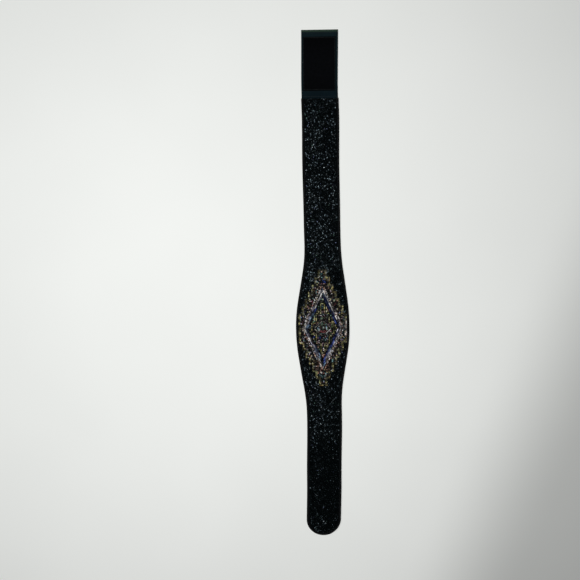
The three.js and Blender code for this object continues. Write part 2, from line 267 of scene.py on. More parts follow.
def copies(name, template, places, material, **values):
    """One mesh of a template's copies, with mesh attributes from values, a number per copy.

    A row of places is x, y, z, angle in plan, tilt, roll, length scale and width scale.
    """
    base, quads, caps = template
    places = np.asarray(places, dtype=float)
    angle, tilt, roll, long, wide = places[:, 3:].T[:, :, None]
    level = np.cos(tilt)
    axis = np.hstack([np.cos(angle) * level, np.sin(angle) * level, np.sin(tilt)])
    side = np.hstack([-np.sin(angle), np.cos(angle), np.zeros_like(angle)])
    up = np.cross(axis, side)
    turned_side = side * np.cos(roll) + up * np.sin(roll)
    turned_up = up * np.cos(roll) - side * np.sin(roll)
    frames = np.stack([axis * long, turned_side * wide, turned_up * wide], axis=1)
    vertices = np.einsum("vk,nkc->nvc", base, frames) + places[:, None, :3]
    offsets = np.arange(len(places))[:, None, None] * len(base)
    faces = [(part[None] + offsets).reshape(-1, part.shape[1]) for part in (quads, caps)]
    piece = new_object(name, vertices.reshape(-1, 3), faces, material)
    for key, numbers in values.items():
        keep_values(piece, key, np.repeat(numbers, len(base)))
    return piece


# Materials


def srgb(code):
    """Linear colour from a hex colour code."""
    values = [int(code[i : i + 2], 16) / 255 for i in (0, 2, 4)]
    linear = [v / 12.92 if v <= 0.04045 else ((v + 0.055) / 1.055) ** 2.4 for v in values]
    return (*linear, 1.0)


class Shader:
    """Node material under construction, with its Principled shader at hand."""

    def __init__(self, name, **constants):
        self.material = bpy.data.materials.new(name)
        self.material.use_nodes = True
        self.tree = self.material.node_tree
        self.principled = self.tree.nodes["Principled BSDF"]
        for key, value in constants.items():
            self.principled.inputs[key.replace("_", " ")].default_value = value

    def node(self, kind, settings=None, numbered=None, **inputs):
        made = self.tree.nodes.new("ShaderNode" + kind)
        for key, value in (settings or {}).items():
            setattr(made, key, value)
        for index, value in (numbered or {}).items():
            self.feed(value, made.inputs[index])
        for key, value in inputs.items():
            self.feed(value, made.inputs[key.replace("_", " ")])
        return made

    def feed(self, value, socket):
        if isinstance(value, bpy.types.NodeSocket):
            self.tree.links.new(value, socket)
        else:
            socket.default_value = value

    def ramp(self, factor, stops, interpolation="LINEAR"):
        made = self.node("ValToRGB", Fac=factor)
        made.color_ramp.interpolation = interpolation
        elements = made.color_ramp.elements
        while len(elements) < len(stops):
            elements.new(0.5)
        for element, (position, colour) in zip(elements, stops):
            element.position = position
            element.color = colour
        return made.outputs["Color"]

    def places(self):
        return self.node("TexCoord").outputs["Object"]

    def kept(self, key):
        """The value of a mesh attribute."""
        return self.node("Attribute", {"attribute_name": key}).outputs["Fac"]

    def noise(self, scale):
        return self.node("TexNoise", Vector=self.places(), Scale=scale).outputs["Fac"]

    def bands(self, direction, scale, distortion):
        settings = {"bands_direction": direction}
        inputs = {"Vector": self.places(), "Scale": scale, "Distortion": distortion}
        return self.node("TexWave", settings, **inputs).outputs["Fac"]

    def waves(self, direction, period_mm, distortion):
        """Bands across one axis with a period in millimetres."""
        return self.bands(direction, math.tau / 20 / (period_mm * MM), distortion)

    def along(self, start, end):
        """0 before one place along the belt and 1 past another."""
        y = self.node("SeparateXYZ", Vector=self.places()).outputs["Y"]
        limits = {"From_Min": y_at(start) * MM, "From_Max": y_at(end) * MM}
        return self.node("MapRange", Value=y, **limits).outputs["Result"]

    def mixed(self, factor, a, b, blend="MIX"):
        settings = {"data_type": "RGBA", "blend_type": blend}
        return self.node("Mix", settings, {0: factor, 6: a, 7: b}).outputs[2]

    def maths(self, operation, a, b):
        return self.node("Math", {"operation": operation}, {0: a, 1: b}).outputs[0]

    def bump(self, height, distance_mm, strength):
        inputs = {"Height": height, "Distance": distance_mm * MM, "Strength": strength}
        made = self.node("Bump", **inputs)
        self.feed(made.outputs["Normal"], self.principled.inputs["Normal"])

    def colour(self, value):
        self.feed(value, self.principled.inputs["Base Color"])

    def roughness(self, factor, low, high):
        spread = self.node("MapRange", Value=factor, To_Min=low, To_Max=high)
        self.feed(spread.outputs["Result"], self.principled.inputs["Roughness"])


def grey(value):
    return (value, value, value, 1.0)


class Glass:
    """Glass for beads: a bead's tone picks its colour, and its value of random lustre and painted
    glint brings it out of the dark.
    """

    def __init__(
        self, name, groups, body="060708", metallic=0.3, roughness=(0.08, 0.35), specular=0.3
    ):
        shader = Shader(name, Metallic=metallic, Specular_IOR_Level=specular)
        stops = []
        self.spans = {}
        for index, group in enumerate(groups):
            low = index / len(groups)
            position = low
            for code, share in COLOURS[group].items():
                stops.append((position, srgb(code)))
                position += share / len(groups)
            self.spans[group] = (low, position)
        colour = shader.ramp(shader.kept("tone"), stops, "CONSTANT")
        # Painted glint: the base colour goes from the dark body to the bead's colour as its lustre
        # and glint value rises
        shader.colour(shader.mixed(shader.kept("shine"), srgb(body), colour))
        bead = shader.node("NewGeometry").outputs["Random Per Island"]
        shader.roughness(bead, *roughness)
        shader.bump(shader.noise(900.0), distance_mm=0.03, strength=0.4)
        self.material = shader.material

    def tones(self, groups, rng):
        spans = [self.spans[group] for group in groups]
        return [low + (high - low) * (0.002 + 0.996 * rng.random()) for low, high in spans]


# Bead colours: for each group, its colours and their shares, each the colour of a bead at its full
# painted glint
COLOURS = {
    # The black beads' greys are the colour of their painted glints
    "black": {
        "7e909a": 0.5, "94a6ae": 0.2, "6c787c": 0.12, "b8c4ca": 0.08, "727c9c": 0.05,
        "729086": 0.05,
    },
    "gold": {"e5db9f": 0.38, "a8a36e": 0.2, "f4f4ee": 0.18, "9c7c48": 0.1, "bfc993": 0.14},
    "inner gold": {"cac17f": 0.42, "9ea264": 0.25, "f4f0c6": 0.18, "dcb9ab": 0.15},
    "iris": {
        "b8aac6": 0.16, "cb9ca1": 0.12, "8ab4b6": 0.2, "c6c295": 0.18, "c09080": 0.12,
        "809cd4": 0.06, "eccb93": 0.06, "f4f4f4": 0.1,
    },
    "teal": {"6c9c9c": 0.4, "a4ccd0": 0.35, "3c6468": 0.25},
    "rust": {"a8806c": 0.36, "d4b8ac": 0.26, "7c4c48": 0.18, "ece4e0": 0.2},
    "red": {"80383e": 0.5, "8c585c": 0.5},
    "sky": {"90b4d0": 0.5, "ccdee8": 0.3, "5478a8": 0.2},
    "navy": {"30488c": 0.6, "1c2858": 0.4},
    "pearl": {
        "e8ded8": 0.3, "d8bcb0": 0.16, "f4f4f4": 0.22, "ccc09c": 0.1, "a08c90": 0.1, "d4dcec": 0.06,
        "b87464": 0.06,
    },
    "olive": {
        "b4bd85": 0.28, "80b4a1": 0.18, "d4cb93": 0.2, "af9f8e": 0.12, "f4f4db": 0.12,
        "d99380": 0.1,
    },
    "plum": {
        "9a8891": 0.22, "a37e8c": 0.16, "7e9f9f": 0.2, "ba887a": 0.14, "88a175": 0.12,
        "bfc3d1": 0.08, "f4f1f4": 0.08,
    },
    "core": {"4c716c": 0.34, "755047": 0.26, "506c4c": 0.24, "bac8c3": 0.16},
    "deep": {"28325c": 0.6, "1e2a50": 0.4},
    "cobalt": {"3a4c98": 0.7, "4458a4": 0.3},
    "azure": {"6c84a0": 0.6, "8ca4b8": 0.4},
    "lavender": {"c8c6d2": 0.6, "b4b4cc": 0.4},
    "white": {"f2f0f0": 1.0},
    "smoke": {"8c8898": 0.5, "9c9490": 0.5},
    "silver": {"bcbcb8": 0.6, "9c9690": 0.4},
}


def fabric_material():
    """Black-teal cloth: ribs crossed by fine threads, and painted near-black where beads cover it,
    as shade between the beads.
    """
    shader = Shader("tab_fabric", Roughness=0.9, Specular_IOR_Level=0.05)
    ribs = shader.waves("Y", period_mm=1.1, distortion=0.4)
    threads = shader.waves("X", period_mm=0.45, distortion=0.6)
    weave = shader.maths("MULTIPLY", ribs, shader.maths("ADD", threads, 0.6))
    tone = shader.ramp(weave, [(0.0, srgb("070f12")), (1.0, srgb("16272c"))])
    wear = shader.ramp(shader.noise(60.0), [(0.35, grey(0.8)), (0.7, grey(1.0))])
    tone = shader.mixed(1.0, tone, wear, "MULTIPLY")
    below_patch = shader.along(88, 96)
    tone = shader.mixed(below_patch, tone, (0.58, 0.69, 0.8, 1.0), "MULTIPLY")
    # Painted shade: the cloth under the beads is near-black for the shade between them; its back is
    # near-black as well
    bead_shade_or_back = shader.maths("MAXIMUM", shader.along(TAB_LENGTH + 2, TAB_LENGTH), shader.kept("back"))
    tone = shader.mixed(bead_shade_or_back, srgb("030506"), tone)
    # Painted light: the folded end is lighter, as lit where it rolls up
    fold = shader.along(FOLD_LENGTH + 0.6, FOLD_LENGTH - 0.6)
    tone = shader.mixed(fold, tone, srgb("2b3a30"))
    shader.colour(tone)
    shader.bump(weave, distance_mm=0.15, strength=0.8)
    return shader.material


def binding_material():
    """Black tape with a fine slanting twill."""
    shader = Shader("binding_tape", Roughness=0.85, Specular_IOR_Level=0.08)
    twill = shader.bands("DIAGONAL", scale=520.0, distortion=0.8)
    tone = shader.ramp(twill, [(0.0, srgb("030404")), (1.0, srgb("0b0d0f"))])
    lint = shader.ramp(shader.noise(180.0), [(0.4, grey(0.7)), (0.75, grey(1.0))])
    shader.colour(shader.mixed(1.0, tone, lint, "MULTIPLY"))
    shader.bump(twill, distance_mm=0.08, strength=0.7)
    return shader.material


def pile_material(name, dark, light):
    shader = Shader(name, Roughness=0.95, Specular_IOR_Level=0.03)
    tufts = shader.noise(700.0)
    shader.colour(shader.ramp(tufts, [(0.3, srgb(dark)), (0.75, srgb(light))]))
    shader.bump(shader.noise(1500.0), distance_mm=0.2, strength=0.8)
    return shader.material


def thread_material(name, code):
    shader = Shader(name, Roughness=0.5, Specular_IOR_Level=0.4)
    strands = shader.noise(2500.0)
    base = srgb(code)
    dark = tuple(0.5 * c for c in base[:3]) + (1.0,)
    shader.colour(shader.ramp(strands, [(0.3, dark), (0.7, base)]))
    shader.bump(strands, distance_mm=0.05, strength=0.6)
    return shader.material


# Cloth parts


def stations(start, end, step):
    count = max(1, round((end - start) / step))
    return [start + (end - start) * i / count for i in range(count + 1)]


def rounded_section(left, right, bottom, top, radius, across):
    """Points round a flat section with rounded sides: bottom, right side, top, left side."""
    height = (top - bottom) / 2
    middle = (top + bottom) / 2
    low_x, high_x = left + radius, right - radius
    flat = right - left - 2 * radius
    side = [math.pi * (i / 4 - 0.5) for i in range(1, 4)]
    points = [(low_x + flat * i / across, bottom) for i in range(across + 1)]
    points += [(high_x + radius * math.cos(a), middle + height * math.sin(a)) for a in side]
    points += [(high_x - flat * i / across, top) for i in range(across + 1)]
    points += [(low_x - radius * math.cos(a), middle - height * math.sin(a)) for a in side]
    return points


def make_fabric(material):
    """The strip of cloth: folded double on the tab, and single under the beads."""
    tab_step, body_step = 0.75, 4.0
    fold_low, fold_high = FOLD_LENGTH - 0.8, FOLD_LENGTH + 0.8
    edge_length, edge_drop = 0.9, 0.25
    wave_height = 0.07
    inset = BINDING_WALL + CLEARANCE
    rings = []
    back = []
    tab = stations(0.0, TAB_LENGTH, tab_step)
    body = stations(TAB_LENGTH + 0.5, ROUND_CENTRE, body_step)
    for angle in range(6, 87, 5):
        body.append(ROUND_CENTRE + (ROUND_RADIUS - inset) * math.sin(math.radians(angle)))
    for along in tab + body:
        if along <= TAB_LENGTH:
            half, low, high = TAB_HALF, 0.0, FABRIC_TOP
            fold = FOLD_RISE * (1 - smoothstep(along, fold_low, fold_high))
        else:
            half, low = half_width_at(along, inset), FABRIC_BOTTOM + lift_at(along)
            high = FABRIC_TOP + lift_at(along)
            fold = 0.0
        top = high + fold - edge_drop * smoothstep(edge_length - along, 0.0, edge_length)
        middle = centre_at(along)
        ring = []
        for x, z in rounded_section(middle - half, middle + half, low, top, 0.7, 24):
            wave = wave_height * rough(x * 0.12, along * 0.07, 3.0)
            ring.append((x, y_at(along), z + wave if z > low + 0.5 else z))
            back.append(float(z < (low + high) / 2))
        rings.append(ring)
    piece = lofted("fabric_strip", rings, material)
    keep_values(piece, "back", back)
    finish_piece(piece, "fabric", "fabric_base")


def edge_route(step):
    """The beaded part's edge, clockwise: place along, place across, and outward normal."""
    side = []
    for along in stations(TAB_LENGTH + 0.5, ROUND_CENTRE, step):
        slope = half_width_at(along + 0.5, 0) - half_width_at(along - 0.5, 0)
        slope = slope if along < ROUND_CENTRE else 0.0
        size = math.hypot(1, slope)
        side.append((along, half_width_at(along, 0), 1 / size, slope / size))
    turn = []
    count = round(math.pi * ROUND_RADIUS / step)
    for i in range(1, count):
        angle = math.pi * i / count
        along = ROUND_CENTRE + ROUND_RADIUS * math.sin(angle)
        across = math.cos(angle)
        turn.append((along, ROUND_RADIUS * across, across, -math.sin(angle)))
    other = [(along, -half, -nx, ny) for along, half, nx, ny in reversed(side)]
    return side + turn + other


def make_binding(material):
    """The folded tape, slightly drawn in by each of its stitches."""
    fold_wall = BINDING_WALL + 0.2
    rings = []
    run = 0.0
    last = None
    for along, half, nx, ny in edge_route(0.9):
        x = centre_at(along) + half
        y = y_at(along)
        if last is not None:
            run += math.hypot(x - last[0], y - last[1])
        last = (x, y)
        pucker = 0.5 + 0.5 * math.cos(math.tau * run / STITCH_PITCH)
        slack = rough(run * 0.08, 0.0, 7.0)
        high = BINDING_HEIGHT - 0.05 + 0.1 * slack
        lip = BINDING_HEIGHT - 0.42 - 0.18 * pucker
        inner = BINDING_WIDTH + 0.12 * slack
        outer = 0.05 * (1 - pucker)
        # Rows of distance in from the edge, and height: from the under side round the outside
        section = (
            (inner, 0.12), (inner - 0.5, 0.02), (1.1, 0.0),
            (outer + 0.35, 0.35), (outer, 1.0), (outer, high - 1.1),
            (outer + 0.3, high - 0.45), (1.0, high - 0.05), (1.9, high),
            (inner - 0.55, lip + 0.28), (inner, lip), (inner, FABRIC_TOP + 0.12),
            (fold_wall, FABRIC_TOP + 0.12), (fold_wall, FABRIC_BOTTOM - 0.12),
            (inner, FABRIC_BOTTOM - 0.12),
        )
        lift = lift_at(along)
        rings.append([(x - nx * inset, y - ny * inset, z + lift) for inset, z in section])
    piece = lofted("edge_binding_tape", rings, material)
    finish_piece(piece, "binding", "edge_binding")


def stitch_template(radius):
    """A short thread with thin ends."""
    profile = ((-0.5, 0.4), (-0.3, 1.0), (0.3, 1.0), (0.5, 0.4))
    return turned(profile, 6, radius, STITCH_LENGTH)


def make_binding_stitches(material):
    """The row of stitches along the binding's inner edge."""
    inset = BINDING_WIDTH - 0.75
    sunk = 0.2
    places = []
    for along, half, nx, ny in edge_route(STITCH_PITCH)[:-1]:
        x = centre_at(along) + half - nx * inset
        y = y_at(along) - ny * inset
        height = BINDING_HEIGHT - sunk + lift_at(along)
        places.append((x, y, height, math.atan2(nx, -ny), 0.0, 0.0, 1.0, 1.0))
    piece = copies("binding_stitches", stitch_template(0.16), places, material)
    finish_piece(piece, "binding")


def make_tab_stitches(material):
    """Machine stitching: round the loop patch, across the folded end and before the beads."""
    step = 2.4
    inset = 1.6
    places = []
    low_x = LOOP_LOW.x - PILE_SPREAD + inset
    high_x = LOOP_HIGH.x + PILE_SPREAD - inset
    low_y, high_y = LOOP_LOW.y + inset, LOOP_HIGH.y - inset
    patch_top = LOOP_HIGH.z + 0.02
    for y in np.arange(low_y, high_y, step):
        places += [(x, y, patch_top, math.pi / 2, 0, 0, 1, 1) for x in (low_x, high_x)]
    for x in np.arange(low_x + step / 2, high_x, step):
        places += [(x, y, patch_top, 0, 0, 0, 1, 1) for y in (low_y, high_y)]
    half = TAB_HALF - 1.2
    for along in (4.6, TAB_LENGTH - 2.2):
        middle = centre_at(along)
        for x in np.arange(middle - half, middle + half, step):
            places.append((x, y_at(along), FABRIC_TOP + 0.1, 0, 0, 0, 1, 1))
    piece = copies("tab_stitches", stitch_template(0.17), places, material)
    finish_piece(piece, "fabric")


def make_loop_patch(material):
    """The pile half's woven ground, with a rounded edge."""
    end_drop, end_length = 0.5, 1.5
    tuft_height = 0.12
    half = PATCH_HALF + PILE_SPREAD
    centre = (LOOP_LOW + LOOP_HIGH) / 2
    off_centre = centre.x - centre_at(along_at(centre.y))
    rings = []
    for y in stations(LOOP_HIGH.y, LOOP_LOW.y, 1.4):
        middle = centre_at(along_at(y)) + off_centre
        from_end = min(LOOP_HIGH.y - y, y - LOOP_LOW.y)
        drop = end_drop * (1 - smoothstep(from_end, 0.0, end_length))
        top = LOOP_HIGH.z - PILE_HEIGHT - drop
        ring = []
        for x, z in rounded_section(middle - half, middle + half, LOOP_LOW.z, top, 0.6, 36):
            tuft = tuft_height * rough(x * 0.9, y * 0.9, 1.0)
            ring.append((x, y, z + tuft if z > LOOP_LOW.z + 0.6 else z))
        rings.append(ring)
    piece = lofted("loop_patch_ground", rings, material)
    finish_piece(piece, "loop_pile", "loop_patch")


def arc_template(radius, thickness, steps, sweep):
    """A bent thread that stands on its two feet: a loop of pile or a hook."""
    sides = 3
    corners = [math.tau * k / sides for k in range(sides)]
    sideways = Vector((0, 1, 0))
    points = []
    for i in range(steps + 1):
        angle = sweep * i / steps
        outward = Vector((math.cos(angle), 0, math.sin(angle)))
        for c in corners:
            off = outward * math.cos(c) + sideways * math.sin(c)
            points.append(outward * radius + off * thickness)
    return np.array(points), *ring_faces(steps + 1, sides)


def make_loop_pile(material):
    """The pile's small loops, one to a square millimetre."""
    rng = random.Random(SEED)
    pitch, jitter = 1.0, 0.4
    radius, thickness = 0.55, 0.07
    foot = LOOP_HIGH.z - 0.75
    columns = np.arange(LOOP_LOW.x - PILE_SPREAD + 1.2, LOOP_HIGH.x + PILE_SPREAD - 1.0, pitch)
    places = []
    for y in np.arange(LOOP_LOW.y + 0.8, LOOP_HIGH.y - 0.6, pitch):
        for x in columns:
            place = (x + rng.uniform(-jitter, jitter), y + rng.uniform(-jitter, jitter), foot)
            angle, lean = rng.uniform(0, math.tau), rng.uniform(-0.6, 0.6)
            places.append((*place, angle, 0.0, lean, 1.0, rng.uniform(0.8, 1.15)))
    piece = copies("loop_pile", arc_template(radius, thickness, 3, math.pi), places, material)
    finish_piece(piece, "loop_pile")


def make_hook_patch(material):
    """The hook half of the closure, face down under the round end."""
    tape_bottom, hook_foot = 0.55, 0.58
    radius, thickness = 0.45, 0.1
    pitch = 1.7
    rings = []
    for y in stations(HOOK_HIGH.y, HOOK_LOW.y, 3.0):
        middle = centre_at(along_at(y))
        left, right = middle - PATCH_HALF, middle + PATCH_HALF
        section = rounded_section(left, right, tape_bottom, HOOK_HIGH.z, 0.4, 12)
        rings.append([(x, y, z) for x, z in section])
    piece = lofted("hook_tape", rings, material)
    finish_piece(piece, "hook_tape", "hook_patch")
    places = []
    for row, y in enumerate(np.arange(HOOK_LOW.y + 1.5, HOOK_HIGH.y - 1.2, pitch)):
        middle = centre_at(along_at(y))
        shift, angle = (pitch / 2, 0.0) if row % 2 else (0.0, math.pi)
        for x in np.arange(middle - PATCH_HALF + 1.5, middle + PATCH_HALF - 1.2, pitch):
            places.append((x + shift, y, hook_foot, angle, 0.0, math.pi, 1.0, 1.0))
    template = arc_template(radius, thickness, 4, math.pi * 0.8)
    hooks = copies("hook_tape_hooks", template, places, material)
    finish_piece(hooks, "hook_tape")


# Black beads, in strings that wander over the bed


BEAD_SIDES = 7
BEAD_PROFILE = ((-0.5, 0.55), (-0.32, 0.98), (0.32, 0.98), (0.5, 0.55))
BED_MARGIN = FIELD_INSET + 0.85
BED_START = TAB_LENGTH + 1.4
BED_STOP = FIRST_RUN + 2.5
STEP_MARGIN = 0.95

# Pitch along a string, spacing of the strings, and the size and turns of their curls
STRING_PITCH = 1.5
STRING_SPACING = 2.02
CURL = 9.0
CURL_TURNS = 1.6

# Room a bead keeps, in spacings: to start a string, to grow one, and alone in a gap
ROOM_TO_START = 0.95
ROOM_TO_GROW = 0.86
ROOM_TO_FILL = 0.82

# Random lustre and painted glint of the black beads: its middle, its spread, and the size of a
# patch of alike beads
BLACK_GLINT = 0.0135
BLACK_SPREAD = 3.1
BLACK_GRAIN = 1.05


def bead_template(radius):
    return turned(BEAD_PROFILE, BEAD_SIDES, radius, SEED_LENGTH)


def in_steps(x, y, outside_x, outside_y):
    """Whether a point lies in the stepped diamond, its edge moved outwards."""
    return any(
        abs(x) < STEP_ACROSS * (STEP_COUNT - i) + outside_x
        and abs(y) < FIRST_RUN + STEP_ALONG * i + outside_y
        for i in range(STEP_COUNT)
    )


def on_black_bed(x, y):
    along = along_at(y)
    if not BED_START < along < LENGTH - BED_MARGIN or abs(y - MOTIF_Y) <= BED_STOP:
        return False
    if abs(x - centre_at(along)) > half_width_at(along, BED_MARGIN):
        return False
    return not in_steps(x, y - MOTIF_Y, CELL_X + STEP_MARGIN, CELL_Y + STEP_MARGIN)


def lay_strings(start):
    """Bead places (x, y, angle) on strings that keep an even distance and curl as they go."""
    beads = []
    cells = {}

    def cell_of(x, y):
        return int(x // STRING_SPACING), int(y // STRING_SPACING)

    def crowded(x, y, room, skip=()):
        column, row = cell_of(x, y)
        limit = room * STRING_SPACING
        for i in (column - 1, column, column + 1):
            for j in (row - 1, row, row + 1):
                for k in cells.get((i, j), ()):
                    if k not in skip and math.hypot(beads[k][0] - x, beads[k][1] - y) < limit:
                        return True
        return False

    def add(x, y, angle):
        cells.setdefault(cell_of(x, y), []).append(len(beads))
        beads.append((x, y, angle))
        return len(beads) - 1

    def heading(x, y):
        return math.tau * CURL_TURNS * rough(x / CURL, y / CURL, 5.0)

    def grow(index, direction):
        recent = [index]
        x, y, _ = beads[index]
        while True:
            turn = heading(x, y)
            x += direction * STRING_PITCH * math.cos(turn)
            y += direction * STRING_PITCH * math.sin(turn)
            if not on_black_bed(x, y) or crowded(x, y, ROOM_TO_GROW, recent[-2:]):
                return
            recent.append(add(x, y, heading(x, y)))

    queue = [start]
    while queue:
        x, y = queue.pop(0)
        if not on_black_bed(x, y) or crowded(x, y, ROOM_TO_START):
            continue
        first = add(x, y, heading(x, y))
        grow(first, 1)
        grow(first, -1)
        for bx, by, angle in beads[first:]:
            for side in (STRING_SPACING, -STRING_SPACING):
                queue.append((bx - side * math.sin(angle), by + side * math.cos(angle)))
    return beads, crowded, add


def fill_gaps(crowded, add, low_y, high_y):
    """Single beads where the strings left room for one."""
    rng = random.Random(SEED + 1)
    step = 0.7
    for y in np.arange(low_y, high_y, step):
        for x in np.arange(-FLARE_WIDTH / 2, FLARE_WIDTH / 2, step):
            if on_black_bed(x, y) and not crowded(x, y, ROOM_TO_FILL):
                add(x, y, rng.uniform(0, math.pi))


def glint_at(x, y, grain, middle, spread, rng):
    """A bead's random lustre and painted glint, at most 1: random, with neighbours within a grain
    of the plan alike.
    """
    shared = 2.7 * rough(x / grain, y / grain, 11.0)
    return min(1.0, middle * math.exp(spread * (0.8 * shared + 0.5 * rng.gauss(0, 1))))


def bead_piece(name, template, rows, glass, kinds, shine, rng, slot, *nodes):
    """One piece of glass beads, with the groups of colours and the lustre and painted glint of
    each.
    """
    tones = glass.tones(kinds, rng)
    piece = copies(name, template, rows, glass.material, shine=shine, tone=tones)
    finish_piece(piece, slot, *nodes)


def lone_glint(middle, spread, rng):
    """A bead's lustre and painted glint with no regard to its neighbours."""
    return min(1.0, middle * math.exp(spread * rng.gauss(0, 1)))


def black_glint_middle(x, y):
    """Painted light on the black beads: their glint in patches, more on the left, less towards the
    round end.
    """
    along = along_at(y)
    across = (x - centre_at(along)) / ROUND_RADIUS
    patch_size = 14
    patch = 1 + 1.3 * rough(x / patch_size, y / patch_size, 9.0)
    # Painted light: glints brighter on the left and fewer towards the round end
    left = 1.5 - 0.8 * smoothstep(across, -0.45, 0.25)
    end = 1 - 0.25 * smoothstep(along, 560, 600) - 0.64 * smoothstep(along, 660, 690)
    return BLACK_GLINT * patch * left * (end + 0.25 * smoothstep(along, 800, 835))


def make_black_beads():
    rng = random.Random(SEED + 2)
    look = {"body": "010708", "metallic": 0.5, "roughness": (0.06, 0.35), "specular": 0.06}
    glass = Glass("black_beads", ("black",), **look)
    template = bead_template(BLACK_RADIUS)
    rest = BED + 0.82 * BLACK_RADIUS
    beds = (
        ("black_beads_tab_side", (0.0, y_at(200.0)), MOTIF_Y, y_at(TAB_LENGTH)),
        ("black_beads_round_end", (0.0, y_at(700.0)), y_at(LENGTH), MOTIF_Y),
    )
    for node, start, low_y, high_y in beds:
        beads, crowded, add = lay_strings(start)
        fill_gaps(crowded, add, low_y, high_y)
        beads.sort(key=lambda bead: bead[1])
        half = len(beads) // 2
        for part, chosen in enumerate((beads[:half], beads[half:])):
            places, shine = [], []
            for x, y, angle in chosen:
                height = rest + rng.uniform(-0.12, 0.16) + lift_at(along_at(y))
                size = rng.uniform(0.93, 1.03)
                tilt = rng.gauss(0, 0.16)
                turn = angle + rng.gauss(0, 0.1)
                places.append((x, y, height, turn, tilt, rng.uniform(0, 1), size, size))
                middle = black_glint_middle(x, y)
                shine.append(glint_at(x, y, BLACK_GRAIN, middle, BLACK_SPREAD, rng))
            name, kinds = f"{node}_{part + 1}", ["black"] * len(places)
            bead_piece(name, template, places, glass, kinds, shine, rng, "black_beads", node)


# The motif


# Sizes as in the part's source; widths and lengths of diamonds are halves, from the middle
BUGLE_RADIUS = 0.9
BUGLE_LENGTH = 7.6
BUGLE_ROWS = 3
ROW_PITCH = 2 * BUGLE_RADIUS + CLEARANCE
ROW_OFFSETS = [(row - (BUGLE_ROWS - 1) / 2) * ROW_PITCH for row in range(BUGLE_ROWS)]
BAND_EDGE = (BUGLE_ROWS - 1) / 2 * ROW_PITCH + BUGLE_RADIUS + CLEARANCE
PEARL_WIDTH = 3.3
PEARL_APEX = 3.0
PEARL_STRINGS = (BAND_EDGE + 0.8, BAND_EDGE + 2.45)
PEARL_OUTSIDE = BAND_EDGE + PEARL_WIDTH
LENGTH_TO_WIDTH = 2.175
OUTWARD = Vector((LENGTH_TO_WIDTH, 1)).normalized()
DIAMOND_WIDTH = node_box("pearl_bead_ring")[1].x - PEARL_OUTSIDE / OUTWARD.x
DIAMOND_LENGTH = DIAMOND_WIDTH * LENGTH_TO_WIDTH
PEARL_CUT = DIAMOND_LENGTH + BAND_EDGE / OUTWARD.y + PEARL_APEX
INNER_LINE = 2.0
INNER_SHARES = (0.17, 0.47, 0.78)
INNER_NECK = 0.4
SILVER_RADIUS = 0.75
SILVER_BUGLE_LENGTH = 6.4
SILVER_ROOM = 2.85
SILVER_LENGTH_TO_WIDTH = 0.93
QUARTERS = {
    "upper_right": (1, 1), "upper_left": (-1, 1), "lower_left": (-1, -1), "lower_right": (1, -1),
}

# Pitch of beads on a line, and how far the fields' beads keep from lines, bugles and strings
PEARL_PITCH = 1.62
INNER_LINE_PITCH = 1.5
LINE_ROOM = 1.62
BAND_ROOM = 0.8
PEARL_ROOM = 0.75
TIP_ROOM = 0.9
SILVER_SIDE_ROOM = 0.85

# Patches of alike beads in the motif, and how much more painted glint the spots get
GOLD_GRAIN = 4.5
FIELD_GRAIN = 3.0
SPOT_LIFT = 2.6


def moved_diamond(outside):
    """Half width and half length of the bugle diamond, its sides moved outwards."""
    return DIAMOND_WIDTH + outside / OUTWARD.x, DIAMOND_LENGTH + outside / OUTWARD.y


def inner_columns():
    half_width, half_length = moved_diamond(-BAND_EDGE)
    outside = INNER_LINE / 2 + CLEARANCE
    rows = []
    for share in INNER_SHARES:
        run = share * half_length
        room = half_width * (1 - (run + outside) / half_length)
        rows.append((room - outside - INNER_NECK, run))
    return rows


INNER_COLUMNS = inner_columns()
SILVER_WIDTH = INNER_COLUMNS[0][0] - INNER_LINE / 2 - SILVER_ROOM
SILVER_LENGTH = SILVER_WIDTH * SILVER_LENGTH_TO_WIDTH


def side_offset(x, y, half_width, half_length):
    """Distance of a point outside the nearest side of a diamond, negative inside it."""
    slope = math.hypot(1 / half_width, 1 / half_length)
    return (abs(x) / half_width + abs(y) / half_length - 1) / slope


def in_inner_steps(x, y):
    return any(abs(x) < column and abs(y) < run for column, run in INNER_COLUMNS)


def line_beads(points, pitch):
    """Bead places along straight runs through the points, evenly spaced on each run."""
    places = []
    for (x0, y0), (x1, y1) in zip(points, points[1:]):
        length = math.hypot(x1 - x0, y1 - y0)
        count = max(1, round(length / pitch))
        angle = math.atan2(y1 - y0, x1 - x0)
        for i in range(count):
            share = (i + 0.5) / count
            places.append((x0 + (x1 - x0) * share, y0 + (y1 - y0) * share, angle))
    return places


def bead_rows(chosen, wobble, rng):
    """Full placement rows for beads of the motif, each a little off its place."""
    rows = []
    for x, y, angle in chosen:
        scale = rng.uniform(0.94, 1.03)
        place = (x + rng.gauss(0, 0.05), y + MOTIF_Y + rng.gauss(0, 0.05))
        height = BED + 0.8 + rng.uniform(-0.08, 0.14)
        turn, tilt = angle + rng.gauss(0, wobble), rng.gauss(0, 0.09)
        rows.append((*place, height, turn, tilt, rng.uniform(0, 1), scale, scale))
    return rows


def grid_cells():
    """The chart's cells as bead places, each with its string running along the belt."""
    columns = CELLS_ACROSS_STEP * STEP_COUNT + 1
    for i in range(-columns, columns):
        for j in range(-CELLS_TO_TIP, CELLS_TO_TIP):
            yield (i + 0.5) * CELL_X, (j + 0.5) * CELL_Y


def inner_line_path(sx, sy):
    """Corners of one quarter of the inner stepped line, from the side to the middle line."""
    points = [(INNER_COLUMNS[0][0] * sx, 0.0)]
    for (column, run), (following, _) in zip(INNER_COLUMNS, INNER_COLUMNS[1:] + [(0.0, 0.0)]):
        points += [(column * sx, run * sy), (following * sx, run * sy)]
    return points


